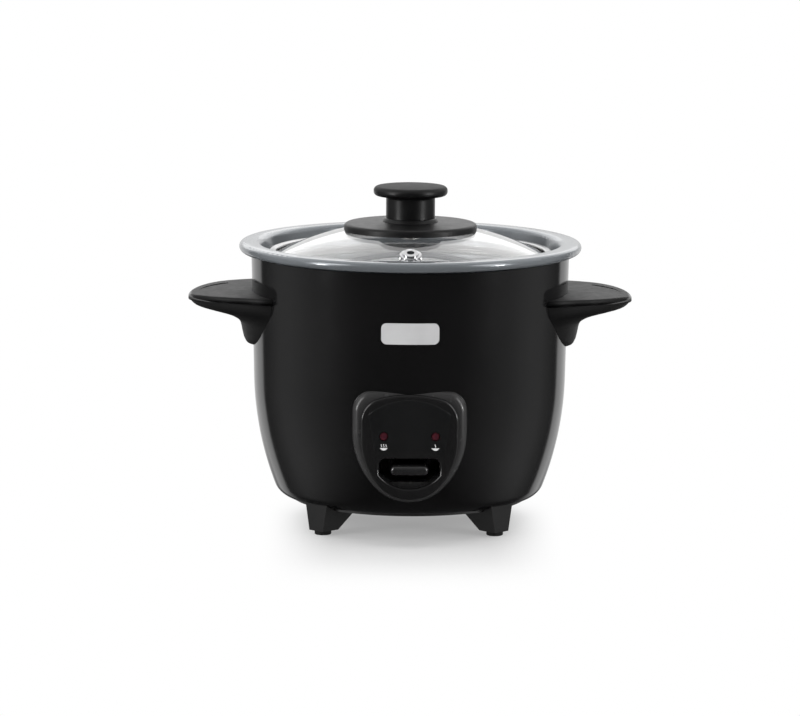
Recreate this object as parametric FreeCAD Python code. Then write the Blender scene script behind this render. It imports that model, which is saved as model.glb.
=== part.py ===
import FreeCAD, Part
import math
import os

# Lengths are in millimetres. The origin is on the table, under the middle of the cooker.
# The front panel faces -Y, the handles stand out along X, and Z is up.
V = FreeCAD.Vector
UP = V(0, 0, 1)
BACK = V(0, 1, 0)
SIDE = V(1, 0, 0)

# Clearances
seat_gap = 0.05          # between fixed pieces with curved seats
bolt_gap = 0.05          # round a fixed screw, pin or lamp
running_gap = 0.1        # round the lever's pivot and the plunger's rod
lift_gap = 0.3           # under pieces that lift off or rest on a spring

# Pot
pot_bottom_z = 62.0
pot_height = 74.0
pot_wall = 1.6
pot_corner_radius = 6.0
pot_neck_radius = 66.8   # outside of the wall, just below the lid's ledge
pot_taper = 1.2          # from the neck in to the foot of the wall
ledge_depth = 11.4       # from the top of the flange down to the lid's ledge
ledge_width = 2.2        # from the neck out to the foot of the flange's slope
pot_seam_drop = 1.0      # from the ledge's underside down to the top of the pot's side
slope_run = 3.4          # the flange's inner slope, measured outwards
rim_overhang = 5.85      # of the rolled edge, beyond the shell's top edge
rim_bead = 2.35          # radius of the rolled edge

# Liner
liner_gap = 2.2          # round the pot's neck
liner_wall = 0.6
liner_flange_gap = 0.6   # between the liner's flange and the shell's inside
liner_floor_thickness = 0.8
liner_floor_gap = 9.0    # round the heating plate's hub
liner_terminal_gap = 1.6 # round the element's ends where they pass the liner's floor

# Shell
shell_gap = 6.25         # from the liner's inside out to the shell's outside, where its side breaks
shell_flare = 1.4        # of the top edge, beyond the break
shell_rim_gap = 1.1      # between the shell's top edge and the pot's rolled edge
shell_break_z = 70.0     # where the straight side runs into the curved lower side
shell_curve_radius = 155.0
shell_corner_radius = 8.5
shell_bottom_z = 13.0
shell_wall = 1.8
shell_floor_seat = 3.0   # of the shell's floor, on the base plate's edge
lip_drop = 3.2           # from the ledge's underside down to the lip that carries the liner
lip_thickness = 1.6
lip_gap = 1.9            # round the liner

# Heating plate and its element
plate_inset = 2.6        # from the edge of the pot's flat floor
plate_thickness = 4.5
hub_depth = 9.7          # of the plate's middle, below the plate's top
hub_margin = 2.0         # round the sensor housing's flange
element_inset = 13.0     # from the plate's edge in to the middle of the tube
element_tube = 3.3
element_cover = 2.2      # plate metal beside the element
element_drop = 8.1       # from the plate's top to the middle of the tube
element_open_angle = 40.0
terminal_radius = 2.2
terminal_length = 11.5
standoff_radius = 3.0
standoff_inset = 3.5     # from the plate's edge
standoff_length = 10.0
standoff_count = 3

# Sensor in the middle of the heating plate
cap_radius = 15.5
cap_wall = 1.2
cap_height = 7.7
cap_gap = 1.5            # round the cap in the plate's hole
ferrite_radius = 8.5
ferrite_thickness = 2.4
housing_step = 2.0       # of the housing, beyond the plate's hole
housing_wall = 1.2
housing_depth = 5.2
housing_floor = 1.4
housing_flange = 4.0
spring_gap = 1.9         # round the ferrite
spring_wire = 1.0

# Magnet plunger
rod_radius = 2.5
carrier_thickness = 0.8
magnet_radius = 8.5
magnet_thickness = 3.2
collar_radius = 6.0
collar_thickness = 1.5

# Switch lever, hung on a pin behind the panel
pivot_inset = 28.0       # from the liner's side
pivot_drop = 9.0         # below the liner's floor
pin_radius = 2.0
lever_boss_wall = 2.5
lever_half_width = 6.0
lever_thickness = 2.6
lever_boss_half_width = 7.5
tail_half_width = 4.0
tail_thickness = 2.2
nose_radius = 1.4        # of the tail's end, which lifts the plunger
button_half_width = 8.9
button_height = 4.6
button_corner_radius = 2.0
button_front = 1.6       # in front of the panel plate
button_length = 6.6
button_round = 1.9
button_socket = 3.0

# Switch opening in the panel
opening_half_width = 14.2
opening_rise = 5.4       # of its top, above the lever's pivot
opening_corner_radius = 3.0
opening_side_drop = 2.1
opening_drop = 8.75      # of its foot, below the lever's pivot
well_wall = 1.4
well_depth = 7.4
shelf_drop = 6.4         # of the well's floor, below the lever's pivot
shelf_depth = 4.1        # of the well's floor, behind the panel's face

# Front panel
panel_proud = 0.5        # of the bezel's face, in front of the shell at the break
bezel_half_width = 26.9
bezel_foot_drop = 16.0   # below the lever's pivot
bezel_head = 4.6         # above the window
bezel_top_radius = 200.0
bezel_corner_radius = 10.0
bezel_round = 4.0
bezel_wall = 2.2
shield_foot_depth = 1.25 # of the rounded foot, as a share of the half width
shield_foot_round = 0.826
panel_margin = 3.9       # bezel showing on each side of the panel plate
panel_bottom_margin = 1.8
panel_top_margin = 2.2
panel_top_radius = 52.0
panel_corner_radius = 11.0
panel_thickness = 1.6
panel_round = 1.4
panel_cutout_gap = 0.6   # in the shell, round the switch well and the lamp holder
window_margin = 3.5      # from the panel plate's side in to the window
window_foot_inset = 2.7  # by which the window narrows to its foot
window_drop = 6.8        # of its foot, below the lamps
window_shoulder = 10.4   # above the lamps
window_rise = 17.4       # of its top, above the lamps
window_thickness = 1.0
window_raise = 0.4       # in front of the panel plate
window_round = 0.35
lamp_spread = 12.1
lamp_rise = 16.2         # above the lever's pivot
lamp_radius = 2.1
lamp_length = 6.2
lamp_recess = 0.5        # behind the window's face
holder_side = 1.3        # of the lamp holder, beside the lamps
holder_cover = 1.4       # over and under the lamps
holder_depth = 3.0

# Switch bracket and contact switch
cheek_thickness = 1.2
cheek_gap = 0.5
cheek_half_length = 5.0
cheek_below_pin = 4.5
bracket_half_length = 10.0
bracket_thickness = 0.8
contact_width = 7.0
contact_length = 13.0
contact_height = 6.0

# Handles: a round-edged wing over a gusset that narrows down the shell
handle_drop = 17.6           # from the shell's top edge
handle_ridge_drop = 2.9      # from the flat top down to the ridge round its edge
handle_edge_run = 1.9        # from the flat top out to the ridge
handle_groove_depth = 1.1    # of the groove over the ridge
handle_groove_height = 0.5
handle_wing = (              # reach beyond the shell's top, half width, fall of the top, depth below it
    (-12.65, 39.4, 0.0, 5.5),
    (-0.65, 37.2, 0.0, 5.5),
    (8.35, 33.6, 0.1, 5.6),
    (16.35, 28.8, 0.3, 5.7),
    (22.35, 22.4, 0.7, 5.8),
    (26.95, 14.6, 1.4, 5.9),
    (29.55, 7.4, 2.3, 5.6),
    (30.25, 4.0, 2.9, 5.1),
)
handle_gusset = (            # depth below the top, half width, reach beyond the shell's top
    (3.4, 38.9, 29.6),
    (4.8, 38.7, 29.45),
    (5.4, 38.6, 29.2),
    (6.0, 38.5, 28.8),
    (6.6, 38.4, 28.2),
    (7.2, 38.25, 27.4),
    (7.8, 38.1, 26.2),
    (8.4, 37.9, 24.4),
    (9.0, 37.7, 21.9),
    (9.6, 37.5, 19.0),
    (10.2, 37.2, 16.2),
    (10.8, 36.9, 13.7),
    (11.6, 36.4, 11.1),
    (12.6, 35.8, 8.9),
    (13.6, 35.1, 7.1),
    (14.6, 34.3, 5.95),
    (15.8, 33.3, 5.25),
    (17.4, 31.8, 4.8),
    (20.0, 28.7, 4.3),
    (23.0, 23.3, 3.6),
    (25.2, 16.4, 2.6),
    (26.0, 12.6, 1.9),
    (26.6, 8.6, 0.9),
)
leaf_waist = (0.62, 0.67)    # shares of a leaf outline's length and half width
leaf_cheek = (0.93, 0.27)
gusset_bed = 2.4             # of the gusset's ends, behind the shell's surface
handle_recess_depth = 0.35
handle_recess_root = 12.0    # beyond the shell's top
handle_recess_half_width = 21.0
handle_recess_tip = 25.2
handle_recess_slope = 3.4    # degrees, falling towards the tip
handle_screw_spread = 9.0
handle_screw_drop = 13.6     # below the handle's top
handle_screw_radius = 1.6
handle_screw_head_radius = 3.0
handle_screw_head = 2.0
handle_screw_length = 6.0

# Plate on the front of the shell
name_plate_half_width = 13.6
name_plate_height = 10.0
name_plate_drop = 28.2   # of its middle, below the shell's top edge
name_plate_corner_radius = 2.6
name_plate_thickness = 0.7

# Lid
lid_gap = 0.2            # under the trim ring, and round the glass in its ring
trim_gap = 0.6           # between the ring and the foot of the flange's slope
trim_wall = 0.6
trim_height = 7.2
trim_round = 1.1
trim_lip = 4.0           # of the ring under the glass
trim_top_lip = 3.4       # of the ring over the glass
trim_top_fall = 0.8      # of the upper lip, towards the glass
glass_thickness = 2.8
glass_rise = 16.6
glass_hole_radius = 3.0
vent_inset = 16.9        # from the ring in to the middle of the vent
vent_radius = 3.0
vent_bore = 1.8
vent_flange_radius = 5.2
vent_flange = 0.8
vent_bead_radius = 3.9
vent_bead = 0.8          # above the flange

# Knob
knob_base_radius = 32.0
knob_base_edge = 3.4
knob_base_rise = 0.7     # above the crown of the glass
knob_base_crown_radius = 13.5
knob_neck_radius = 12.5
knob_neck_height = 1.7
knob_neck_round = 0.5
knob_stem_radius = 11.8
knob_stem_round = 1.6
knob_cap_radius = 17.85
knob_cap_thickness = 5.0
knob_cap_under_round = 2.0
knob_cap_round = 2.2
knob_crown = 0.6         # from the cap's edge up to its flat top
knob_height = 17.5       # of the grip, above its base
washer_radius = 15.2
washer_thickness = 2.6
washer_groove = 0.5      # round its edge, between two layers
knob_screw_radius = 2.0
knob_screw_head_radius = 4.2
knob_screw_head = 1.8
knob_screw_length = 19.0

# Base, legs and pads; places are from the base plate's edge
base_inset = 18.25       # of the base plate's edge, from the shell's side at the break
base_plate_thickness = 1.2
vent_slot_count = 8
vent_slot_length = 14.0
vent_slot_width = 3.0
vent_slot_place = 26.0   # from the middle
pad_height = 2.0         # of a pad below its leg
pad_radius = 4.0
pad_recess = 1.0
pad_out = 1.0
leg_out = 5.6
leg_foot_in = 4.7
leg_top_in = 20.7
leg_half_width_foot = 4.6
leg_half_width_top = 7.4
leg_overlap = 3.0        # of a leg's top, above the shell's underside
leg_names = ("rear_right", "rear_left", "front_left", "front_right")
leg_screw_in = 6.5
leg_screw_radius = 1.3
leg_screw_head_radius = 2.6
leg_screw_head = 1.6
leg_screw_length = 4.2
tie_rod_radius = 2.6
tie_rod_in = 7.0
tie_rod_angle = 20.0     # in front of and behind the middle plane
base_screw_radius = 1.5
base_screw_head_radius = 3.2
base_screw_head = 1.6
base_screw_length = 8.0

# Electrical pieces behind the shell
band_height = 16.0
band_rise = 10.0         # above the pot's bottom
band_thickness = 0.9
fuse_radius = 2.2
fuse_length = 16.0
fuse_inset = 6.0         # from the hole in the liner's floor
terminal_block_width = 28.0
terminal_block_depth = 16.0
terminal_block_height = 11.0
terminal_block_gap = 8.0 # in front of the inlet
terminal_screw_radius = 2.4
terminal_screw_depth = 4.0
terminal_screw_spread = 9.3
inlet_rise = 19.0        # above the shell's underside
inlet_half_width = 13.5
inlet_half_height = 8.5
inlet_wall = 2.8
inlet_flange = 4.5
inlet_set_back = 1.25    # of its face, from the shell's side at the break
inlet_length = 24.0
inlet_depth = 17.0
inlet_corner_radius = 3.0
inlet_pin_radius = 1.9
inlet_pin_spread = 5.0
inlet_pin_length = 18.0
inlet_pin_recess = 4.0

# Radii and places that follow from the sizes above
pot_floor_radius = pot_neck_radius - pot_taper - pot_corner_radius
ledge_radius = pot_neck_radius + ledge_width
liner_radius = pot_neck_radius + liner_gap
lip_radius = liner_radius + liner_wall + lip_gap
shell_break_radius = liner_radius + shell_gap
shell_top_radius = shell_break_radius + shell_flare
rim_radius = shell_top_radius + rim_overhang
outside = 2 * rim_radius
plate_radius = pot_floor_radius - plate_inset
plate_hole_radius = cap_radius + cap_gap
element_radius = plate_radius - element_inset
standoff_place = plate_radius - standoff_inset
housing_radius = plate_hole_radius + housing_step
hub_radius = housing_radius + housing_flange + hub_margin
liner_floor_hole = hub_radius + liner_floor_gap
spring_radius = ferrite_radius + spring_gap + spring_wire
base_plate_radius = shell_break_radius - base_inset
shell_floor_hole = base_plate_radius - shell_floor_seat
pad_place = base_plate_radius + pad_out
leg_outer = base_plate_radius + leg_out
leg_screw_place = base_plate_radius - leg_screw_in
tie_rod_place = base_plate_radius - tie_rod_in
leg_angles = {name: 360 * (index + 0.5) / len(leg_names) for index, name in enumerate(leg_names)}
tie_rod_angles = (tie_rod_angle, 180 - tie_rod_angle, 180 + tie_rod_angle, -tie_rod_angle)
trim_radius = ledge_radius - trim_gap
vent_place = trim_radius - vent_inset
glass_radius = trim_radius - trim_wall - lid_gap
dome_radius = (glass_radius ** 2 + glass_rise ** 2) / (2 * glass_rise)
panel_face_y = -shell_break_radius - panel_proud
panel_front_y = panel_face_y - panel_thickness
window_front_y = panel_front_y - window_raise
bezel_back_y = panel_face_y + bezel_wall
button_front_y = panel_front_y - button_front
button_back_y = button_front_y + button_length
window_half_width = bezel_half_width - panel_margin - window_margin
window_foot_half_width = window_half_width - window_foot_inset
holder_half_width = lamp_spread + lamp_radius + holder_side
holder_half_height = lamp_radius + holder_cover
lever_boss_radius = pin_radius + lever_boss_wall
pivot_y = pivot_inset - liner_radius
inlet_face_y = shell_break_radius - inlet_set_back
inlet_inner_y = inlet_face_y - inlet_length
fuse_y = liner_floor_hole + fuse_inset
terminal_block_y = inlet_inner_y - terminal_block_gap - terminal_block_depth / 2

# Heights that follow from the sizes above
rim_z = pot_bottom_z + pot_height
ledge_z = rim_z - ledge_depth
shell_top_z = rim_z - 2 * rim_bead - shell_rim_gap
shell_lean = math.atan2(shell_flare, shell_top_z - shell_break_z)
lip_z = ledge_z - pot_wall - lip_drop
pot_corner_z = pot_bottom_z + pot_corner_radius
pot_seam_z = ledge_z - pot_wall - pot_seam_drop
plate_top_z = pot_bottom_z - lift_gap
plate_under_z = plate_top_z - plate_thickness
hub_z = plate_top_z - hub_depth
element_z = plate_top_z - element_drop
liner_floor_top_z = plate_under_z - standoff_length
liner_floor_z = liner_floor_top_z - liner_floor_thickness
housing_floor_z = hub_z - housing_depth
housing_inside_z = housing_floor_z + housing_floor
carrier_z = housing_inside_z + lift_gap
pivot_z = liner_floor_z - pivot_drop
nose_z = pivot_z + nose_radius
collar_z = nose_z + lift_gap
opening_top_z = pivot_z + opening_rise
opening_side_z = pivot_z - opening_side_drop
opening_bottom_z = pivot_z - opening_drop
shelf_z = pivot_z - shelf_drop
lamp_z = pivot_z + lamp_rise
window_bottom_z = lamp_z - window_drop
window_shoulder_z = lamp_z + window_shoulder
window_top_z = lamp_z + window_rise
bezel_bottom_z = pivot_z - bezel_foot_drop
bezel_top_z = window_top_z + bezel_head
handle_top_z = shell_top_z - handle_drop
handle_screw_z = handle_top_z - handle_screw_drop
name_plate_z = shell_top_z - name_plate_drop
trim_z = ledge_z + lid_gap
glass_edge_z = trim_z + trim_wall + lid_gap
glass_top_z = glass_edge_z + glass_thickness + glass_rise
knob_base_top_z = glass_top_z + knob_base_rise
knob_top_z = knob_base_top_z + knob_height
base_under_z = shell_bottom_z - base_plate_thickness
leg_top_z = shell_bottom_z + leg_overlap
band_bottom_z = pot_bottom_z + band_rise
inlet_z = shell_bottom_z + inlet_rise


def line(start, end):
    return Part.LineSegment(start, end).toShape()


def arc(start, middle, end):
    return Part.Arc(start, middle, end).toShape()


def block(x0, x1, y0, y1, z0, z1):
    return Part.makeBox(x1 - x0, y1 - y0, z1 - z0, V(x0, y0, z0))


def cylinder(radius, z0, z1, x=0.0, y=0.0):
    return Part.makeCylinder(radius, z1 - z0, V(x, y, z0), UP)


def ring(outer, inner, z0, z1):
    return cylinder(outer, z0, z1).cut(cylinder(inner, z0, z1))


def rod_along_x(radius, x0, x1, y, z):
    return Part.makeCylinder(radius, x1 - x0, V(x0, y, z), SIDE)


def rod_along_y(radius, y0, y1, x, z):
    return Part.makeCylinder(radius, y1 - y0, V(x, y0, z), BACK)


def outline(corners):
    """Edges of a closed outline in the XZ plane, from (x, z, corner radius)."""
    places = [V(x, 0, z) for x, z, radius in corners]
    cuts = []
    for index, here in enumerate(places):
        radius = corners[index][2]
        if radius == 0:
            cuts.append((here, None, here))
            continue
        back = (places[index - 1] - here).normalize()
        ahead = (places[(index + 1) % len(places)] - here).normalize()
        half = back.getAngle(ahead) / 2
        reach = radius / math.tan(half)
        middle = here + (back + ahead).normalize() * (radius / math.sin(half) - radius)
        cuts.append((here + back * reach, middle, here + ahead * reach))
    edges = []
    for index, (start, middle, end) in enumerate(cuts):
        if middle is not None:
            edges.append(arc(start, middle, end))
        following = cuts[(index + 1) % len(cuts)][0]
        if (following - end).Length > 1e-6:
            edges.append(line(end, following))
    return edges


def turned_face(edges):
    return Part.Face(Part.Wire(edges)).revolve(V(0, 0, 0), UP, 360)


def turned(corners):
    """A solid turned about the upright axis from (radius, height, corner radius)."""
    return turned_face(outline(corners))


def along_y(edges, y0, y1):
    """An outline of the XZ plane drawn out between two depths."""
    face = Part.Face(Part.Wire(edges))
    face.translate(V(0, y0, 0))
    return face.extrude(V(0, y1 - y0, 0))


def edges_at_y(shape, y):
    """The edges that lie wholly at one depth."""
    return [e for e in shape.Edges if max(abs(v.Y - y) for v in e.Vertexes) < 1e-6]


def polar(radius, degrees):
    turn = math.radians(degrees)
    return radius * math.cos(turn), radius * math.sin(turn)


def rectangle(x0, x1, z0, z1, radius):
    return outline([(x0, z0, radius), (x1, z0, radius), (x1, z1, radius), (x0, z1, radius)])


def body_form(inset, top_z):
    """The shell's outer form, filled in, with its surface moved inwards by inset."""
    inward = V(-math.cos(shell_lean), 0, math.sin(shell_lean))
    turn = V(shell_break_radius, 0, shell_break_z)
    curve_centre = turn + inward * shell_curve_radius
    corner_z = shell_bottom_z + shell_corner_radius
    reach = shell_curve_radius - shell_corner_radius
    corner_x = curve_centre.x + math.sqrt(reach ** 2 - (curve_centre.z - corner_z) ** 2)
    corner_centre = V(corner_x, 0, corner_z)
    outward = (corner_centre - curve_centre).normalize()
    side = turn + inward * inset
    top = V(side.x + (top_z - side.z) * math.tan(shell_lean), 0, top_z)
    curve_mid = curve_centre + (outward - inward).normalize() * (shell_curve_radius - inset)
    curve_end = curve_centre + outward * (shell_curve_radius - inset)
    corner_mid = corner_centre + (outward - UP).normalize() * (shell_corner_radius - inset)
    corner_end = V(corner_x, 0, shell_bottom_z + inset)
    axis_low = V(0, 0, corner_end.z)
    axis_high = V(0, 0, top_z)
    return turned_face([
        line(axis_high, top),
        line(top, side),
        arc(side, curve_mid, curve_end),
        arc(curve_end, corner_mid, corner_end),
        line(corner_end, axis_low),
        line(axis_low, axis_high),
    ])


def body_radius(z):
    """Outside radius of the shell's straight side at a height."""
    return shell_break_radius + (z - shell_break_z) * math.tan(shell_lean)


def shield(half_width, bottom_z, top_z, top_radius, corner_radius):
    """Outline with a rounded foot, straight sides, round shoulders and a slightly arched top."""
    depth = shield_foot_depth * half_width
    foot_radius = shield_foot_round * half_width
    foot_z = bottom_z + depth
    side_radius = (half_width ** 2 + depth ** 2 - 2 * depth * foot_radius) / (2 * (half_width - foot_radius))
    foot = V(0, 0, bottom_z + foot_radius)
    side = V(half_width - side_radius, 0, foot_z)
    turn = (foot - side).normalize()
    join = foot + turn * foot_radius
    cheek = side + (turn + SIDE).normalize() * side_radius
    arch = V(0, 0, top_z - top_radius)
    corner_x = half_width - corner_radius
    corner_z = arch.z + math.sqrt((top_radius - corner_radius) ** 2 - corner_x ** 2)
    corner = V(corner_x, 0, corner_z)
    lean = (corner - arch).normalize()
    shoulder = arch + lean * top_radius
    bend = corner + (lean + SIDE).normalize() * corner_radius
    left_join = V(-join.x, 0, join.z)
    left_foot = V(-half_width, 0, foot_z)
    left_corner = V(-half_width, 0, corner_z)
    left_shoulder = V(-shoulder.x, 0, shoulder.z)
    right_foot = V(half_width, 0, foot_z)
    right_corner = V(half_width, 0, corner_z)
    return [
        arc(left_join, V(0, 0, bottom_z), join),
        arc(join, cheek, right_foot),
        line(right_foot, right_corner),
        arc(right_corner, bend, shoulder),
        arc(shoulder, V(0, 0, top_z), left_shoulder),
        arc(left_shoulder, V(-bend.x, 0, bend.z), left_corner),
        line(left_corner, left_foot),
        arc(left_foot, V(-cheek.x, 0, cheek.z), left_join),
    ]


def switch_outline(margin):
    """The switch opening: flat top with round corners, short sides and a round foot, grown by margin."""
    half = opening_half_width + margin
    top = opening_top_z + margin
    round_radius = opening_corner_radius + margin
    flat = half - round_radius
    side = top - round_radius
    bend = round_radius / math.sqrt(2)
    return [
        arc(V(-half, 0, opening_side_z), V(0, 0, opening_bottom_z - margin), V(half, 0, opening_side_z)),
        line(V(half, 0, opening_side_z), V(half, 0, side)),
        arc(V(half, 0, side), V(flat + bend, 0, side + bend), V(flat, 0, top)),
        line(V(flat, 0, top), V(-flat, 0, top)),
        arc(V(-flat, 0, top), V(-flat - bend, 0, side + bend), V(-half, 0, side)),
        line(V(-half, 0, side), V(-half, 0, opening_side_z)),
    ]


def window_outline(margin):
    """The indicator window: flat foot, sides that lean out and an arched top, shrunk by margin."""
    foot = window_foot_half_width - margin
    wide = window_half_width - margin
    low = window_bottom_z + margin
    high = window_shoulder_z
    return [
        line(V(-foot, 0, low), V(foot, 0, low)),
        line(V(foot, 0, low), V(wide, 0, high)),
        arc(V(wide, 0, high), V(0, 0, window_top_z - margin), V(-wide, 0, high)),
        line(V(-wide, 0, high), V(-foot, 0, low)),
    ]


def handle_screw_rods(radius, x0, x1):
    """Rods on the axes of the four handle screws, between two distances from the middle."""
    rods = []
    for y in (-handle_screw_spread, handle_screw_spread):
        rods.append(rod_along_x(radius, x0, x1, y, handle_screw_z))
        rods.append(rod_along_x(radius, -x1, -x0, y, handle_screw_z))
    return rods


def lamp_holes():
    """Holes for both lamps, right through the panel."""
    radius = lamp_radius + bolt_gap
    rods = [rod_along_y(radius, window_front_y, pivot_y, x, lamp_z) for x in (-lamp_spread, lamp_spread)]
    return Part.makeCompound(rods)


def upright_rods(radius, z0, z1, place, angles):
    return [cylinder(radius, z0, z1, *polar(place, angle)) for angle in angles]


def pot_sheet():
    """The whole pot."""
    floor_top = pot_bottom_z + pot_wall
    low_radius = pot_floor_radius + pot_corner_radius
    ledge_inner = pot_neck_radius - pot_wall
    slope = math.atan2(ledge_depth, slope_run)
    shift = pot_wall * math.tan(slope / 2)
    under_ledge = ledge_z - pot_wall
    under_rim = rim_z - pot_wall
    bead_place = rim_radius - rim_bead
    sheet = turned([
        (0, pot_bottom_z, 0),
        (low_radius, pot_bottom_z, pot_corner_radius),
        (pot_neck_radius, under_ledge, 0),
        (ledge_radius + shift, under_ledge, pot_wall),
        (ledge_radius + slope_run + shift, under_rim, pot_wall / 2),
        (bead_place, under_rim, 0),
        (bead_place, rim_z, 0),
        (ledge_radius + slope_run, rim_z, 2 * pot_wall),
        (ledge_radius, ledge_z, 0),
        (ledge_inner, ledge_z, pot_wall / 2),
        (low_radius - pot_wall, floor_top, pot_corner_radius - pot_wall),
        (0, floor_top, 0),
    ])
    bead = Part.makeTorus(bead_place, rim_bead, V(0, 0, rim_z - rim_bead))
    return sheet.fuse(bead).removeSplitter()


def pot_band(z0, z1):
    """The stretch of the pot between two heights."""
    return pot_sheet().common(cylinder(outside, z0, z1))


def pot_floor():
    return cylinder(pot_floor_radius, pot_bottom_z, pot_bottom_z + pot_wall)


def pot_corner():
    return pot_band(pot_bottom_z, pot_corner_z).cut(pot_floor())


def pot_side():
    return pot_band(pot_corner_z, pot_seam_z)


def pot_ledge():
    return pot_band(pot_seam_z, ledge_z)


def pot_flange():
    return pot_band(ledge_z, rim_z + rim_bead)


def outer_shell():
    shape = body_form(0, shell_top_z).cut(body_form(shell_wall, rim_z))
    floor_top = shell_bottom_z + shell_wall
    cuts = [cylinder(shell_floor_hole, shell_bottom_z - shell_wall, floor_top + shell_wall)]
    cuts.append(along_y(switch_outline(well_wall + panel_cutout_gap), pivot_y, -outside))
    cuts.append(lamp_holder_box(panel_cutout_gap, -outside, pivot_y))
    cuts.append(inlet_box(seat_gap, inlet_inner_y, outside))
    cuts += handle_screw_rods(handle_screw_radius + bolt_gap, liner_radius, outside)
    return shape.cut(Part.makeCompound(cuts)).removeSplitter()


def shell_lip():
    """Ring inside the shell's top, which carries the liner."""
    shape = ring(body_radius(lip_z), lip_radius, lip_z - lip_thickness, lip_z)
    return shape.common(body_form(shell_wall + seat_gap, rim_z))


def liner_side():
    outer = liner_radius + liner_wall
    flange = body_radius(lip_z) - shell_wall - liner_flange_gap
    return turned([
        (liner_radius, liner_floor_top_z, 0),
        (outer, liner_floor_top_z, 0),
        (outer, lip_z, 0),
        (flange, lip_z, 0),
        (flange, lip_z + liner_wall, 0),
        (liner_radius, lip_z + liner_wall, 0),
    ])


def liner_floor():
    shape = ring(liner_radius + liner_wall, liner_floor_hole, liner_floor_z, liner_floor_top_z)
    holes = terminal_rods(terminal_radius + liner_terminal_gap, liner_floor_z, liner_floor_top_z)
    return shape.cut(Part.makeCompound(holes))


def terminal_rods(radius, z0, z1):
    half = element_open_angle / 2
    return upright_rods(radius, z0, z1, element_radius, (90 - half, 90 + half))


def heating_plate():
    ridge_outer = element_radius + element_tube + element_cover
    ridge_inner = element_radius - element_tube - element_cover
    shape = cylinder(plate_radius, plate_under_z, plate_top_z)
    shape = shape.makeFillet(plate_thickness / 3, [shape.Edges[0]])
    shape = shape.fuse(cylinder(hub_radius, hub_z, plate_under_z))
    shape = shape.fuse(ring(ridge_outer, ridge_inner, element_z, plate_under_z))
    shape = shape.cut(cylinder(plate_hole_radius, hub_z - plate_thickness, plate_top_z + plate_thickness))
    groove = Part.makeTorus(element_radius, element_tube + bolt_gap, V(0, 0, element_z))
    return shape.cut(groove).removeSplitter()


def heating_element():
    start = 90 + element_open_angle / 2
    circle = Part.Wire(Part.makeCircle(element_tube, V(element_radius, 0, element_z), BACK))
    section = Part.Face(circle)
    section.rotate(V(0, 0, 0), UP, start)
    shape = section.revolve(V(0, 0, 0), UP, 360 - element_open_angle)
    for rod in terminal_rods(terminal_radius, element_z - terminal_length, element_z):
        shape = shape.fuse(rod)
    return shape


def plate_standoffs():
    angles = [270 + 360 * index / standoff_count for index in range(standoff_count)]
    return upright_rods(standoff_radius, liner_floor_top_z, plate_under_z, standoff_place, angles)


def sensor_cap():
    under = plate_top_z - cap_wall
    shape = cylinder(cap_radius, plate_top_z - cap_height, plate_top_z)
    return shape.cut(cylinder(cap_radius - cap_wall, plate_top_z - cap_height, under))


def sensor_ferrite():
    top = plate_top_z - cap_wall
    return cylinder(ferrite_radius, top - ferrite_thickness, top)


def sensor_spring():
    top = plate_top_z - cap_wall - seat_gap
    return ring(spring_radius, spring_radius - spring_wire, housing_inside_z + seat_gap, top)


def sensor_housing():
    outer = housing_radius + housing_flange
    shape = cylinder(housing_radius, housing_floor_z, hub_z)
    shape = shape.fuse(cylinder(outer, hub_z - housing_wall, hub_z))
    shape = shape.cut(cylinder(housing_radius - housing_wall, housing_inside_z, hub_z))
    bore = cylinder(rod_radius + running_gap, housing_floor_z, housing_inside_z)
    return shape.cut(bore).removeSplitter()


def magnet_plunger():
    shape = cylinder(collar_radius, collar_z, collar_z + collar_thickness)
    shape = shape.fuse(cylinder(rod_radius, collar_z, carrier_z + carrier_thickness))
    return shape.fuse(cylinder(magnet_radius, carrier_z, carrier_z + carrier_thickness)).removeSplitter()


def plunger_magnet():
    low = carrier_z + carrier_thickness
    return cylinder(magnet_radius, low, low + magnet_thickness)


def bezel_outline(margin):
    """The bezel's outline, shrunk by margin."""
    return shield(bezel_half_width - margin, bezel_bottom_z + margin, bezel_top_z - margin,
                  bezel_top_radius, bezel_corner_radius - margin)


def panel_bezel():
    shape = along_y(bezel_outline(0), pivot_y, panel_face_y)
    shape = shape.makeFillet(bezel_round, edges_at_y(shape, panel_face_y))
    shape = shape.cut(along_y(bezel_outline(bezel_wall), pivot_y, bezel_back_y))
    shape = shape.cut(body_form(-seat_gap, rim_z))
    well_back_y = panel_face_y + bezel_wall + well_depth
    well = along_y(switch_outline(well_wall), bezel_back_y, well_back_y)
    shape = shape.fuse(well)
    shape = shape.cut(along_y(switch_outline(0), panel_front_y, well_back_y))
    shelf_y = panel_front_y + shelf_depth + panel_thickness
    shelf = along_y(switch_outline(well_wall / 2), shelf_y, well_back_y)
    wide = bezel_half_width
    shelf = shelf.common(block(-wide, wide, shelf_y, well_back_y, bezel_bottom_z, shelf_z))
    shape = shape.fuse(shelf)
    return shape.cut(lamp_holes()).removeSplitter()


def control_panel():
    plate = along_y(shield(bezel_half_width - panel_margin, bezel_bottom_z + panel_bottom_margin,
                           bezel_top_z - panel_top_margin, panel_top_radius, panel_corner_radius),
                    panel_face_y, panel_front_y)
    plate = plate.cut(along_y(switch_outline(0), panel_face_y, panel_front_y))
    plate = plate.makeFillet(panel_round, edges_at_y(plate, panel_front_y))
    plate = plate.cut(along_y(window_outline(0), window_front_y + window_thickness, window_front_y))
    return plate.cut(lamp_holes())


def indicator_window():
    shape = along_y(window_outline(seat_gap), window_front_y + window_thickness, window_front_y)
    shape = shape.makeFillet(window_round, edges_at_y(shape, window_front_y))
    return shape.cut(lamp_holes())


def lamp(x):
    front = window_front_y + lamp_recess
    shape = rod_along_y(lamp_radius, front, front + lamp_length, x, lamp_z)
    return shape.makeFillet(lamp_radius / 3, edges_at_y(shape, front))


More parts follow.
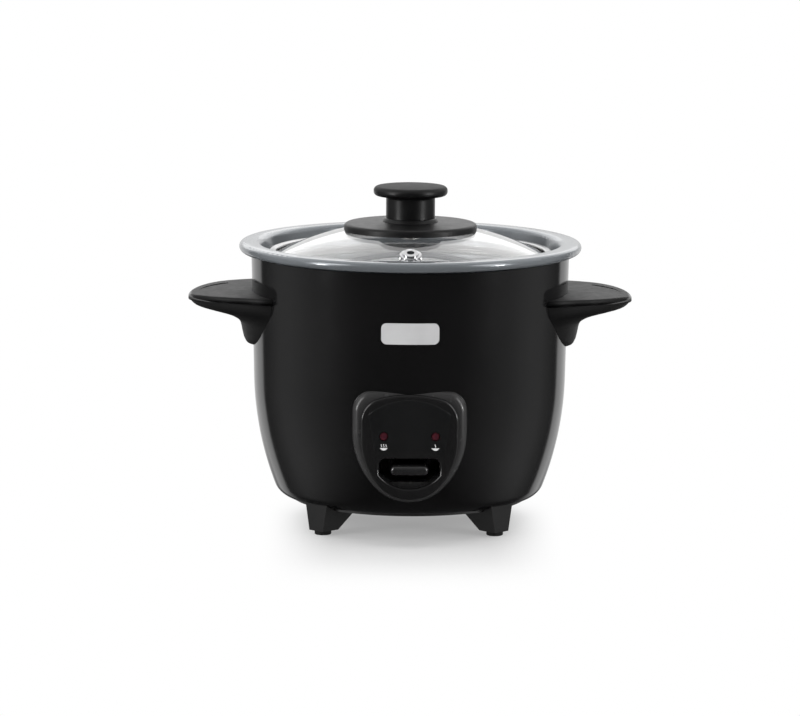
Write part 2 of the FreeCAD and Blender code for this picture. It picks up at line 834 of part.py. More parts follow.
def lamp_holder_box(margin, y0, y1):
    half = holder_half_width + margin
    tall = holder_half_height + margin
    return block(-half, half, y0, y1, lamp_z - tall, lamp_z + tall)


def lamp_holder():
    return lamp_holder_box(0, bezel_back_y, bezel_back_y + holder_depth).cut(lamp_holes())


def name_plate():
    half_height = name_plate_height / 2
    tile = along_y(rectangle(-name_plate_half_width, name_plate_half_width, name_plate_z - half_height,
                             name_plate_z + half_height, name_plate_corner_radius), -outside, pivot_y)
    tile = tile.common(body_form(-seat_gap - name_plate_thickness, rim_z))
    return tile.cut(body_form(-seat_gap, rim_z))


def lever_button():
    half = button_height / 2
    shape = along_y(rectangle(-button_half_width, button_half_width, pivot_z - half, pivot_z + half,
                              button_corner_radius), button_front_y, button_back_y)
    shape = shape.makeFillet(button_round, edges_at_y(shape, button_front_y))
    wide = lever_half_width + bolt_gap
    grip = lever_thickness / 2 + bolt_gap
    socket = block(-wide, wide, button_back_y - button_socket, button_back_y, pivot_z - grip, pivot_z + grip)
    return shape.cut(socket)


def switch_lever():
    grip = lever_thickness / 2
    front = button_back_y - button_socket + bolt_gap
    boss = lever_boss_half_width
    shape = block(-lever_half_width, lever_half_width, front, pivot_y, pivot_z - grip, pivot_z + grip)
    shape = shape.fuse(rod_along_x(lever_boss_radius, -boss, boss, pivot_y, pivot_z))
    low = pivot_z - grip
    shape = shape.fuse(block(-tail_half_width, tail_half_width, pivot_y, 0, low, low + tail_thickness))
    shape = shape.fuse(rod_along_x(nose_radius, -tail_half_width, tail_half_width, 0, pivot_z))
    return shape.cut(rod_along_x(pin_radius + running_gap, -boss, boss, pivot_y, pivot_z)).removeSplitter()


def cheek_inner():
    return lever_boss_half_width + cheek_gap


def switch_bracket():
    inner = cheek_inner()
    outer = inner + cheek_thickness
    under = liner_floor_z - bracket_thickness
    front = pivot_y - bracket_half_length
    back = pivot_y + bracket_half_length
    shape = block(-outer, outer, front, back, under, liner_floor_z)
    for side in (-1, 1):
        low, high = sorted((side * inner, side * outer))
        cheek = block(low, high, pivot_y - cheek_half_length, pivot_y + cheek_half_length,
                      pivot_z - cheek_below_pin, under)
        shape = shape.fuse(cheek)
    hole = rod_along_x(pin_radius + bolt_gap, -outer, outer, pivot_y, pivot_z)
    return shape.cut(hole).removeSplitter()


def pivot_pin():
    half = cheek_inner() + 2 * cheek_thickness
    return rod_along_x(pin_radius, -half, half, pivot_y, pivot_z)


def contact_switch():
    low_x = cheek_inner() + cheek_thickness
    top = liner_floor_z - bracket_thickness
    half = contact_length / 2
    return block(low_x, low_x + contact_width, pivot_y - half, pivot_y + half, top - contact_height, top)


def wing_side(place, half_width, top, ridge):
    """One side of the wing, from its flat top over the round edge and the groove to the ridge."""
    flat = V(place, half_width - handle_edge_run, top)
    groove = V(place, half_width - handle_groove_depth, ridge + handle_groove_height)
    run = groove.y - flat.y
    drop = flat.z - groove.z
    radius = (run ** 2 + drop ** 2) / (2 * drop)
    centre = flat - UP * radius
    middle = centre + (flat + groove - centre * 2).normalize() * radius
    return flat, middle, groove, V(place, half_width, ridge)


def wing_section(out, half_width, fall, depth):
    """Flat top, round edges down to a groove and a ridge on each side, and a round underside, square to X."""
    place = shell_top_radius + out
    top = handle_top_z - fall
    ridge = handle_top_z - handle_ridge_drop - fall / 2
    far = wing_side(place, half_width, top, ridge)
    near = [V(p.x, -p.y, p.z) for p in far]
    return Part.Wire([
        line(near[3], near[2]),
        arc(near[2], near[1], near[0]),
        line(near[0], far[0]),
        arc(far[0], far[1], far[2]),
        line(far[2], far[3]),
        arc(far[3], V(place, 0, handle_top_z - depth), near[3]),
    ])


def leaf(root, half_width, length, z):
    """A level outline like a leaf, open at its root: bowed sides and a round tip."""
    corner = V(root, half_width, z)
    waist = V(root + leaf_waist[0] * length, leaf_waist[1] * half_width, z)
    cheek = V(root + leaf_cheek[0] * length, leaf_cheek[1] * half_width, z)
    flip = [V(p.x, -p.y, z) for p in (corner, waist, cheek)]
    return [
        arc(corner, waist, cheek),
        arc(cheek, V(root + length, 0, z), flip[2]),
        arc(flip[2], flip[1], flip[0]),
    ]


def handle_recess():
    """A shallow hollow in the handle's top, with a floor that slopes as the top does."""
    z = handle_top_z - handle_recess_depth
    root = shell_top_radius + handle_recess_root
    half_width = handle_recess_half_width
    edges = leaf(root, half_width, handle_recess_tip - handle_recess_root, z)
    edges.append(line(V(root, -half_width, z), V(root, half_width, z)))
    hollow = Part.Face(Part.Wire(edges)).extrude(UP * handle_ridge_drop)
    hollow.rotate(V(root, 0, z), BACK, handle_recess_slope)
    return hollow


def gusset_section(depth, half_width, reach):
    """A level slice of the gusset, bowed outwards from the shell."""
    z = handle_top_z - depth
    side = math.sqrt(body_radius(z) ** 2 - half_width ** 2) - gusset_bed
    root = shell_top_radius + handle_wing[0][0] - gusset_bed
    edges = leaf(side, half_width, shell_top_radius + reach - side, z)
    edges.append(line(V(side, -half_width, z), V(root, -half_width, z)))
    edges.append(line(V(root, -half_width, z), V(root, half_width, z)))
    edges.append(line(V(root, half_width, z), V(side, half_width, z)))
    return Part.Wire(edges)


def handle():
    shape = Part.makeLoft([wing_section(*section) for section in handle_wing], True, False)
    shape = shape.fuse(Part.makeLoft([gusset_section(*section) for section in handle_gusset], True, True))
    shape = shape.cut(handle_recess())
    shape = shape.cut(body_form(-seat_gap, rim_z))
    holes = handle_screw_rods(handle_screw_radius + bolt_gap, liner_radius, handle_screw_tip() + bolt_gap)
    return shape.cut(Part.makeCompound(holes)).removeSplitter()


def handle_screw_seat():
    """Distance of the shell's inside from the middle plane, at the screws."""
    return math.sqrt((body_radius(handle_screw_z) - shell_wall) ** 2
                     - (handle_screw_spread + handle_screw_head_radius) ** 2) - seat_gap


def handle_screw_tip():
    return handle_screw_seat() + handle_screw_length


def handle_screws():
    seat = handle_screw_seat()
    heads = handle_screw_rods(handle_screw_head_radius, seat - handle_screw_head, seat)
    shafts = handle_screw_rods(handle_screw_radius, seat, handle_screw_tip())
    return [head.fuse(shaft) for head, shaft in zip(heads, shafts)]


def mirrored(shape):
    return shape.mirror(V(0, 0, 0), SIDE)


def dome(top_z, edge_radius, low_z):
    """A solid under the glass's curve, with its crown at a height."""
    ball = Part.makeSphere(dome_radius, V(0, 0, top_z - dome_radius))
    return ball.common(cylinder(edge_radius, low_z, top_z + glass_rise))


def vent_placed(shape):
    """Stands a piece, drawn upright at the origin, on the glass at the vent."""
    lean = math.degrees(math.asin(vent_place / dome_radius))
    height = glass_top_z - dome_radius + math.sqrt(dome_radius ** 2 - vent_place ** 2)
    shape.rotate(V(0, 0, 0), SIDE, lean)
    shape.translate(V(0, -vent_place, height))
    return shape


def lid_glass():
    top_z = glass_top_z
    shape = dome(top_z, glass_radius, ledge_z).cut(dome(top_z - glass_thickness, outside, ledge_z))
    holes = [cylinder(glass_hole_radius, ledge_z, top_z)]
    holes.append(vent_placed(cylinder(vent_radius + bolt_gap, -2 * glass_thickness, glass_thickness)))
    return shape.cut(Part.makeCompound(holes))


def lid_trim_ring():
    """A channel round the glass: a lip under it, a wall round it and a lip over it."""
    lip = trim_radius - trim_lip
    inner = trim_radius - trim_wall
    top = trim_z + trim_height
    top_lip = trim_radius - trim_top_lip
    lip_height = top - trim_top_fall
    return turned([
        (lip, trim_z, 0),
        (trim_radius, trim_z, trim_wall),
        (trim_radius, top, trim_round),
        (top_lip, lip_height, 0),
        (top_lip, lip_height - trim_wall, 0),
        (inner, top - trim_wall, trim_round - trim_wall),
        (inner, trim_z + trim_wall, 0),
        (lip, trim_z + trim_wall, 0),
    ])


def vent_eyelet():
    top = seat_gap + vent_flange
    upper = cylinder(vent_flange_radius, seat_gap, top)
    upper = upper.makeFillet(vent_flange / 2, [upper.Edges[0]])
    bead = cylinder(vent_bead_radius, seat_gap, top + vent_bead)
    bead = bead.makeFillet(vent_bead / 2, [bead.Edges[0]])
    low = -glass_thickness - seat_gap
    shape = upper.fuse(bead)
    shape = shape.fuse(cylinder(vent_radius, low - vent_flange, top))
    shape = shape.fuse(cylinder(vent_flange_radius, low - vent_flange, low))
    shape = shape.cut(cylinder(vent_bore, low - vent_flange, top + vent_bead))
    return vent_placed(shape.removeSplitter())


def knob_base():
    seat_z = glass_top_z - dome_radius + math.sqrt(dome_radius ** 2 - knob_base_radius ** 2)
    shape = turned([
        (0, seat_z, 0),
        (knob_base_radius, seat_z, 0),
        (knob_base_radius, seat_z + knob_base_edge, knob_base_edge / 2),
        (knob_base_crown_radius, knob_base_top_z, knob_base_edge),
        (0, knob_base_top_z, 0),
    ])
    shape = shape.cut(dome(glass_top_z + seat_gap, glass_radius, ledge_z))
    return shape.cut(cylinder(knob_screw_radius + bolt_gap, ledge_z, knob_base_top_z))


def knob_grip():
    neck_top = knob_base_top_z + knob_neck_height
    cap_under = knob_top_z - knob_cap_thickness
    shape = turned([
        (0, knob_base_top_z, 0),
        (knob_base_crown_radius, knob_base_top_z, 0),
        (knob_neck_radius, neck_top, knob_neck_round),
        (knob_stem_radius, neck_top, 0),
        (knob_stem_radius, cap_under, knob_stem_round),
        (knob_cap_radius, cap_under, knob_cap_under_round),
        (knob_cap_radius, knob_top_z - knob_crown, knob_cap_round),
        (knob_stem_radius, knob_top_z, 0),
        (0, knob_top_z, 0),
    ])
    return shape.cut(cylinder(knob_screw_radius + bolt_gap, knob_base_top_z, knob_screw_tip_z() + bolt_gap))


def washer_top_z():
    top = glass_top_z - glass_thickness
    return top - dome_radius + math.sqrt(dome_radius ** 2 - washer_radius ** 2) - seat_gap


def knob_screw_tip_z():
    return washer_top_z() - washer_thickness + knob_screw_length


def knob_washer():
    top = washer_top_z()
    low = top - washer_thickness
    middle = top - washer_thickness / 2
    shape = cylinder(washer_radius, low, top)
    groove_low = middle - washer_groove / 2
    groove_foot = washer_radius - washer_groove
    shape = shape.cut(ring(washer_radius, groove_foot, groove_low, groove_low + washer_groove))
    return shape.cut(cylinder(knob_screw_radius + bolt_gap, low, top))


def knob_screw():
    seat = washer_top_z() - washer_thickness
    shape = cylinder(knob_screw_head_radius, seat - knob_screw_head, seat)
    return shape.fuse(cylinder(knob_screw_radius, seat, knob_screw_tip_z())).removeSplitter()


def base_plate():
    low = base_under_z
    high = shell_bottom_z
    shape = cylinder(base_plate_radius, low, high)
    holes = upright_rods(leg_screw_radius + bolt_gap, low, high, leg_screw_place, leg_angles.values())
    holes += upright_rods(base_screw_radius + bolt_gap, low, high, tie_rod_place, tie_rod_angles)
    half = vent_slot_width / 2
    for index in range(vent_slot_count):
        slot = block(vent_slot_place, vent_slot_place + vent_slot_length, -half, half, low, high)
        slot.rotate(V(0, 0, 0), UP, 360 * (index + 0.5) / vent_slot_count)
        holes.append(slot)
    return shape.cut(Part.makeCompound(holes))


def leg_section(inner, half_width, z):
    corners = [(inner, -half_width), (leg_outer, -half_width), (leg_outer, half_width), (inner, half_width)]
    places = [V(x, y, z) for x, y in corners]
    return Part.makePolygon(places + places[:1])


def leg(angle):
    foot = leg_section(base_plate_radius - leg_foot_in, leg_half_width_foot, pad_height)
    top = leg_section(base_plate_radius - leg_top_in, leg_half_width_top, leg_top_z)
    shape = Part.makeLoft([foot, top], True, True)
    shape = shape.cut(body_form(-seat_gap, rim_z))
    shape = shape.cut(cylinder(base_plate_radius + seat_gap, base_under_z, rim_z))
    shape = shape.cut(cylinder(pad_radius + bolt_gap, pad_height, pad_height + pad_recess, pad_place))
    tip = shell_bottom_z - leg_screw_length - bolt_gap
    shape = shape.cut(cylinder(leg_screw_radius + bolt_gap, tip, shell_bottom_z, leg_screw_place))
    shape.rotate(V(0, 0, 0), UP, angle)
    return shape


def foot_pads():
    pads = upright_rods(pad_radius, 0, pad_height + pad_recess, pad_place, leg_angles.values())
    return [pad.makeFillet(pad_height / 4, [pad.Edges[2]]) for pad in pads]


def leg_screws():
    z = shell_bottom_z
    heads = upright_rods(leg_screw_head_radius, z, z + leg_screw_head, leg_screw_place, leg_angles.values())
    shafts = upright_rods(leg_screw_radius, z - leg_screw_length, z, leg_screw_place, leg_angles.values())
    return [head.fuse(shaft) for head, shaft in zip(heads, shafts)]


def tie_rods():
    rods = upright_rods(tie_rod_radius, shell_bottom_z, liner_floor_z, tie_rod_place, tie_rod_angles)
    tip = base_under_z + base_screw_length + bolt_gap
    bores = upright_rods(base_screw_radius + bolt_gap, shell_bottom_z, tip, tie_rod_place, tie_rod_angles)
    return [rod.cut(bore) for rod, bore in zip(rods, bores)]


def base_screws():
    z = base_under_z
    heads = upright_rods(base_screw_head_radius, z - base_screw_head, z, tie_rod_place, tie_rod_angles)
    shafts = upright_rods(base_screw_radius, z, z + base_screw_length, tie_rod_place, tie_rod_angles)
    return [head.fuse(shaft) for head, shaft in zip(heads, shafts)]


def keep_warm_band():
    inner = liner_radius + liner_wall + seat_gap
    return ring(inner + band_thickness, inner, band_bottom_z, band_bottom_z + band_height)


def thermal_fuse():
    half = fuse_length / 2
    return rod_along_x(fuse_radius, -half, half, fuse_y, liner_floor_z - fuse_radius - seat_gap)


def terminal_block():
    half = terminal_block_width / 2
    depth = terminal_block_depth / 2
    top = shell_bottom_z + terminal_block_height
    shape = block(-half, half, terminal_block_y - depth, terminal_block_y + depth, shell_bottom_z, top)
    for x in (-terminal_screw_spread, 0, terminal_screw_spread):
        screw = cylinder(terminal_screw_radius, top - terminal_screw_depth, top, x, terminal_block_y)
        shape = shape.cut(screw)
    return shape


def inlet_box(margin, y0, y1):
    """The inlet's round-cornered box between two depths, grown by margin."""
    wide = inlet_half_width + margin
    tall = inlet_half_height + margin
    return along_y(rectangle(-wide, wide, inlet_z - tall, inlet_z + tall, inlet_corner_radius), y0, y1)


def inlet_pin_rods(radius, y0, y1):
    return [rod_along_y(radius, y0, y1, x, inlet_z) for x in (-inlet_pin_spread, inlet_pin_spread)]


def power_inlet():
    flange = inlet_box(inlet_flange, inlet_inner_y, inlet_face_y)
    flange = flange.makeFillet(inlet_corner_radius / 3, edges_at_y(flange, inlet_face_y))
    shape = flange.cut(body_form(-seat_gap, rim_z))
    shape = shape.fuse(inlet_box(0, inlet_inner_y, inlet_face_y - inlet_wall))
    shape = shape.cut(inlet_box(-inlet_wall, inlet_face_y - inlet_depth, inlet_face_y))
    pins = inlet_pin_rods(inlet_pin_radius + bolt_gap, inlet_inner_y, inlet_face_y)
    return shape.cut(Part.makeCompound(pins)).removeSplitter()


def inlet_pins():
    tip = inlet_face_y - inlet_pin_recess
    pins = inlet_pin_rods(inlet_pin_radius, tip - inlet_pin_length, tip)
    return [pin.makeFillet(inlet_pin_radius / 2, edges_at_y(pin, tip)) for pin in pins]


def all_pieces():
    right_handle = handle()
    pieces = {
        "pot_floor": pot_floor(),
        "pot_corner": pot_corner(),
        "pot_side": pot_side(),
        "pot_ledge": pot_ledge(),
        "pot_flange": pot_flange(),
        "lid_glass": lid_glass(),
        "lid_trim_ring": lid_trim_ring(),
        "vent_eyelet": vent_eyelet(),
        "knob_base": knob_base(),
        "knob_grip": knob_grip(),
        "knob_washer": knob_washer(),
        "knob_screw": knob_screw(),
        "outer_shell": outer_shell(),
        "shell_lip": shell_lip(),
        "liner_side": liner_side(),
        "liner_floor": liner_floor(),
        "heating_plate": heating_plate(),
        "heating_element": heating_element(),
        "plate_standoffs": plate_standoffs(),
        "sensor_cap": sensor_cap(),
        "sensor_ferrite": sensor_ferrite(),
        "sensor_spring": sensor_spring(),
        "sensor_housing": sensor_housing(),
        "magnet_plunger": magnet_plunger(),
        "plunger_magnet": plunger_magnet(),
        "panel_bezel": panel_bezel(),
        "control_panel": control_panel(),
        "indicator_window": indicator_window(),
        "lamp_cook": lamp(-lamp_spread),
        "lamp_warm": lamp(lamp_spread),
        "lamp_holder": lamp_holder(),
        "name_plate": name_plate(),
        "lever_button": lever_button(),
        "switch_lever": switch_lever(),
        "switch_bracket": switch_bracket(),
        "pivot_pin": pivot_pin(),
        "contact_switch": contact_switch(),
        "handle_right": right_handle,
        "handle_left": mirrored(right_handle),
        "handle_screws": handle_screws(),
        "base_plate": base_plate(),
        "foot_pads": foot_pads(),
        "leg_screws": leg_screws(),
        "tie_rods": tie_rods(),
        "base_screws": base_screws(),
        "keep_warm_band": keep_warm_band(),
        "thermal_fuse": thermal_fuse(),
        "terminal_block": terminal_block(),
        "power_inlet": power_inlet(),
        "inlet_pins": inlet_pins(),
    }
    for name, angle in leg_angles.items():
        pieces["leg_" + name] = leg(angle)
    return pieces


def export(pieces):
    os.makedirs("parts", exist_ok=True)
    for name, shape in pieces.items():
        if isinstance(shape, list):
            shape = Part.makeCompound(shape)
        shape.exportStep("parts/" + name + ".step")
        print(name, len(shape.Solids), "solids,", round(shape.Volume), "cubic mm")


export(all_pieces())
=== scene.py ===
import math

import bmesh
import bpy
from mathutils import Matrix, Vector


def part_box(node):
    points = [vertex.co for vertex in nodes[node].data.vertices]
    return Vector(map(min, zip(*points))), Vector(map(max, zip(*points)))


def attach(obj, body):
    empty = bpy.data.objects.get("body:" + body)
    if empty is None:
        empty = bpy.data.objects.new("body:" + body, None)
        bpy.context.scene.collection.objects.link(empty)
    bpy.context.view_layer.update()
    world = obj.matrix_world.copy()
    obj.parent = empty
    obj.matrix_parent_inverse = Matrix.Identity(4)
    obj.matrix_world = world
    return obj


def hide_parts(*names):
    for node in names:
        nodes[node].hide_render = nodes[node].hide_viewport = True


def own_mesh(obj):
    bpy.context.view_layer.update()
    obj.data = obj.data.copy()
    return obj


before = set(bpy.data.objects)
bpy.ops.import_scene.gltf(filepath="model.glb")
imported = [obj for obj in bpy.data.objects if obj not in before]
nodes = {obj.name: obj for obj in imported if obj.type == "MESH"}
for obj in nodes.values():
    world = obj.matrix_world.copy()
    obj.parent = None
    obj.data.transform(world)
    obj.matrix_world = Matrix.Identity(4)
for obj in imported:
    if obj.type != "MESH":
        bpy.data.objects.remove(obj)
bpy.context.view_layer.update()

scene = bpy.context.scene


# Shading of the frame's meshes

smooth_angle = 24        # degrees between two faces, up to which the shading is rounded
weld_distance = 2e-6     # metres


def smooth_group():
    """Joins split edges and rounds the shading wherever two faces meet at a small angle."""
    group = bpy.data.node_groups.new("smooth_by_angle", "GeometryNodeTree")
    group.interface.new_socket("Geometry", in_out="INPUT", socket_type="NodeSocketGeometry")
    group.interface.new_socket("Geometry", in_out="OUTPUT", socket_type="NodeSocketGeometry")
    start = group.nodes.new("NodeGroupInput")
    end = group.nodes.new("NodeGroupOutput")
    weld = group.nodes.new("GeometryNodeMergeByDistance")
    weld.inputs["Distance"].default_value = weld_distance
    faces = group.nodes.new("GeometryNodeSetShadeSmooth")
    edges = group.nodes.new("GeometryNodeSetShadeSmooth")
    edges.domain = "EDGE"
    edges.inputs["Shade Smooth"].default_value = False
    angle = group.nodes.new("GeometryNodeInputMeshEdgeAngle")
    sharp = group.nodes.new("FunctionNodeCompare")
    sharp.operation = "GREATER_THAN"
    sharp.inputs["B"].default_value = math.radians(smooth_angle)
    link = group.links.new
    link(start.outputs["Geometry"], weld.inputs["Geometry"])
    link(weld.outputs["Geometry"], faces.inputs["Geometry"])
    link(faces.outputs["Geometry"], edges.inputs["Geometry"])
    link(angle.outputs["Unsigned Angle"], sharp.inputs["A"])
    link(sharp.outputs["Result"], edges.inputs["Selection"])
    link(edges.outputs["Geometry"], end.inputs["Geometry"])
    return group


smoothing = smooth_group()


def round_shading(obj):
    obj.modifiers.new("smooth", "NODES").node_group = smoothing


# Tools for materials

noise_low, noise_high = 0.3, 0.7     # the stretch of values that most of a noise lies in


class Tree:
    """A shader node tree, with short names for the steps that repeat."""

    def __init__(self, owner):
        owner.use_nodes = True
        self.tree = owner.node_tree

    def node(self, kind):
        return self.tree.nodes.new("ShaderNode" + kind)

    def link(self, a, b):
        self.tree.links.new(a, b)

    def math(self, operation, *values):
        node = self.node("Math")
        node.operation = operation
        for socket, value in zip(node.inputs, values):
            if isinstance(value, (int, float)):
                socket.default_value = value
            else:
                self.link(value, socket)
        return node.outputs[0]

    def split(self, vector):
        node = self.node("SeparateXYZ")
        self.link(vector, node.inputs[0])
        return node.outputs

    def across(self, parts):
        """Distance from the upright axis."""
        squares = [self.math("MULTIPLY", part, part) for part in (parts[0], parts[1])]
        return self.math("SQRT", self.math("ADD", *squares))

    def ease(self, value, start, end, low, high, course="SMOOTHSTEP"):
        """Runs from low to high as the value goes from start to end."""
        node = self.node("MapRange")
        node.interpolation_type = course
        for name, number in zip(("From Min", "From Max", "To Min", "To Max"), (start, end, low, high)):
            node.inputs[name].default_value = number
        self.link(value, node.inputs["Value"])
        return node.outputs["Result"]

    def blend(self, share, a, b):
        """The number a, turning into b as the share goes from 0 to 1."""
        return self.math("ADD", a, self.math("MULTIPLY", share, self.math("SUBTRACT", b, a)))

    def mix(self, share, a, b, output):
        """The shader a, turning into b as the share goes from 0 to 1."""
        node = self.node("MixShader")
        self.link(share, node.inputs["Fac"])
        self.link(a, node.inputs[1])
        self.link(b, node.inputs[2])
        self.link(node.outputs["Shader"], output.inputs["Surface"])

    def seen(self):
        """1 for what the camera sees, straight or through glass, and 0 for light and reflections."""
        ray = self.node("LightPath").outputs
        return self.math("MAXIMUM", ray["Is Camera Ray"], ray["Is Transmission Ray"])


class Shader(Tree):
    """A material built round one Principled shader, with textures in the part's own metres."""

    def __init__(self, name):
        self.mat = bpy.data.materials.new(name)
        super().__init__(self.mat)
        self.main = self.tree.nodes["Principled BSDF"]
        self.where = self.node("TexCoord").outputs["Object"]

    def set(self, **values):
        for name, value in values.items():
            self.main.inputs[name.replace("_", " ")].default_value = value

    def noise(self, scale, detail, place=None):
        node = self.node("TexNoise")
        node.inputs["Scale"].default_value = scale
        node.inputs["Detail"].default_value = detail
        self.link(place or self.where, node.inputs["Vector"])
        return node.outputs["Fac"]

    def rings(self, scale):
        """Noise that changes only with the distance from the axis and with height, as turning leaves it."""
        parts = self.split(self.where)
        place = self.node("CombineXYZ")
        self.link(self.across(parts), place.inputs[0])
        self.link(parts[2], place.inputs[2])
        return self.noise(scale, 2, place.outputs[0])

    def ramp(self, value, low, high):
        return self.ease(value, noise_low, noise_high, low, high, "LINEAR")

    def colours(self, value, dark, light):
        node = self.node("Mix")
        node.data_type = "RGBA"
        node.inputs["A"].default_value = (*dark, 1)
        node.inputs["B"].default_value = (*light, 1)
        self.link(self.ramp(value, 0.0, 1.0), node.inputs["Factor"])
        self.link(node.outputs["Result"], self.main.inputs["Base Color"])

    def roughness(self, value):
        self.link(value, self.main.inputs["Roughness"])

    def bump(self, value, depth):
        node = self.node("Bump")
        node.inputs["Distance"].default_value = depth
        self.link(value, node.inputs["Height"])
        self.link(node.outputs["Normal"], self.main.inputs["Normal"])


# Kinds of material

soft_black = ((0.0036, 0.0036, 0.0038), (0.0054, 0.0052, 0.0054))


def plastic(name, dark, light, rough, grain, depth, specular=0.5, mottle=70):
    """Moulded plastic: a faint mottle in its colour, and the fine grain of its mould."""
    made = Shader(name)
    made.set(Specular_IOR_Level=specular)
    made.colours(made.noise(mottle, 4), dark, light)
    made.roughness(made.ramp(made.noise(mottle * 4, 3), *rough))
    made.bump(made.noise(grain, 2), depth)
    return made.mat


def metal(name, dark, light, rough, scale, depth, turned=False, metallic=1.0):
    """Sheet or turned metal, with marks that run round the axis on turned pieces."""
    made = Shader(name)
    made.set(Metallic=metallic)
    marks = made.rings(scale) if turned else made.noise(scale, 4)
    made.colours(made.noise(90, 4), dark, light)
    made.roughness(made.ramp(marks, *rough))
    made.bump(marks, depth)
    return made.mat


def shell_black():
    """Glossy moulded black with a faint ripple and a few dull spots."""
    made = Shader("shell_black")
    made.set(Specular_IOR_Level=0.5)
    made.colours(made.noise(18, 3), (0.0030, 0.0030, 0.0032), (0.0046, 0.0044, 0.0046))
    made.roughness(made.ramp(made.noise(55, 5), 0.08, 0.12))
    made.bump(made.noise(110, 2), 0.00001)
    return made.mat


def handle_black():
    """Fine-grained black, worn smooth by hands along the ridge round the edge."""
    ridge_drop = 0.0027      # below the handle's highest point
    worn_roughness = 0.14
    made = Shader("handle_black")
    made.set(Specular_IOR_Level=0.26)
    made.colours(made.noise(70, 4), *soft_black)
    height = made.split(made.where)[2]
    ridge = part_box("handle_left")[1].z - ridge_drop
    lower_side = made.ease(height, ridge - 0.0009, ridge - 0.0002, 0.0, 1.0)
    upper_side = made.ease(height, ridge + 0.0003, ridge + 0.0010, 1.0, 0.0)
    worn = made.math("MULTIPLY", lower_side, upper_side)
    made.roughness(made.blend(worn, made.ramp(made.noise(280, 3), 0.50, 0.58), worn_roughness))
    made.bump(made.noise(2600, 2), 0.000004)
    return made.mat


def knob_black():
    """Fine-grained black, dullest on top of the cap and smoothest round the stem, where fingers hold it."""
    held_roughness, top_roughness, disc_extra = 0.32, 0.58, 0.08
    made = Shader("knob_black")
    made.set(Specular_IOR_Level=0.30)
    made.colours(made.noise(70, 4), *soft_black)
    height = made.split(made.where)[2]
    disc_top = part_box("knob_base")[1].z
    cap_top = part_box("knob_grip")[1].z
    cap = made.ease(height, cap_top - 0.0026, cap_top - 0.0010, held_roughness, top_roughness)
    disc = made.ease(height, disc_top + 0.0001, disc_top + 0.0008, disc_extra, 0.0)
    grain = made.ramp(made.noise(280, 3), 0.0, 0.06)
    made.roughness(made.math("ADD", grain, made.math("ADD", cap, disc)))
    made.bump(made.noise(2600, 2), 0.000001)
    return made.mat


def pot_coating(name, dark, light, rough):
    """Blue-grey coat with a fine fleck over bare metal."""
    made = Shader(name)
    made.set(Metallic=0.35, Coat_Weight=0.5, Coat_Roughness=0.07)
    made.colours(made.noise(2600, 2), dark, light)
    made.roughness(made.ramp(made.rings(700), *rough))
    made.bump(made.noise(1500, 2), 0.000004)
    return made.mat


def clear_glass():
    """Clear glass with faint wiping marks. Lamps shine through it."""
    made = Shader("clear_glass")
    made.set(Transmission_Weight=1.0, IOR=1.46)
    made.colours(made.noise(12, 3), (0.965, 0.965, 0.962), (0.985, 0.985, 0.985))
    made.roughness(made.ramp(made.noise(30, 5), 0.0, 0.012))
    clear = made.node("BsdfTransparent")
    clear.inputs["Color"].default_value = (0.93, 0.93, 0.93, 1)
    lamp_ray = made.node("LightPath").outputs["Is Shadow Ray"]
    made.mix(lamp_ray, made.main.outputs["BSDF"], clear.outputs["BSDF"], made.tree.nodes["Material Output"])
    return made.mat


def lamp_red():
    """Unlit red lens with a cloudy depth."""
    made = Shader("lamp_red")
    made.set(Specular_IOR_Level=0.5, Subsurface_Weight=0.2)
    made.colours(made.noise(900, 2), (0.042, 0.006, 0.011), (0.078, 0.010, 0.018))
    made.roughness(made.ramp(made.noise(1500, 2), 0.18, 0.28))
    made.bump(made.noise(2500, 1), 0.00001)
    return made.mat


def print_white():
    """Thin white ink with an uneven cover."""
    made = Shader("print_white")
    made.colours(made.noise(4000, 3), (0.62, 0.62, 0.62), (0.78, 0.78, 0.78))
    made.roughness(made.ramp(made.noise(2000, 2), 0.45, 0.6))
    return made.mat


# Materials: dark and light tone, range of roughness, fineness of the marks per metre, and their depth

black_handle = handle_black()
black_knob = knob_black()
black_bezel = plastic("bezel_black", (0.0250, 0.0245, 0.0248), (0.0300, 0.0294, 0.0297),
                      rough=(0.24, 0.28), grain=2400, depth=0.000001)
black_panel = plastic("panel_black", (0.0072, 0.0070, 0.0072), (0.0098, 0.0095, 0.0098),
                      rough=(0.15, 0.20), grain=2200, depth=0.000002)
black_button = plastic("button_black", (0.0100, 0.0098, 0.0100), (0.0140, 0.0136, 0.0140),
                       rough=(0.10, 0.15), grain=2200, depth=0.000002, specular=0.9)
black_leg = plastic("leg_black", (0.0042, 0.0042, 0.0044), (0.0070, 0.0068, 0.0070),
                    rough=(0.38, 0.48), grain=2400, depth=0.00001, specular=0.4)
window_black = plastic("window_black", (0.0058, 0.0060, 0.0062), (0.0080, 0.0082, 0.0084),
                       rough=(0.12, 0.16), grain=900, depth=0.000002, specular=0.75)
ivory = plastic("ivory_plastic", (0.60, 0.58, 0.52), (0.70, 0.68, 0.62),
                rough=(0.45, 0.6), grain=1200, depth=0.00002)
rubber = plastic("black_rubber", (0.008, 0.008, 0.008), (0.015, 0.015, 0.0145),
                 rough=(0.72, 0.85), grain=3000, depth=0.00005, specular=0.3)
ferrite = plastic("fired_ferrite", (0.05, 0.05, 0.055), (0.085, 0.083, 0.09),
                  rough=(0.5, 0.7), grain=2000, depth=0.00004, specular=0.4, mottle=300)
mica = plastic("mica_sheet", (0.36, 0.31, 0.22), (0.52, 0.46, 0.34),
               rough=(0.3, 0.5), grain=500, depth=0.00003, mottle=180)
silver_plate = metal("silver_plate", (0.485, 0.485, 0.49), (0.545, 0.545, 0.55),
                     rough=(0.34, 0.46), scale=3000, depth=0.000008, metallic=0.0)
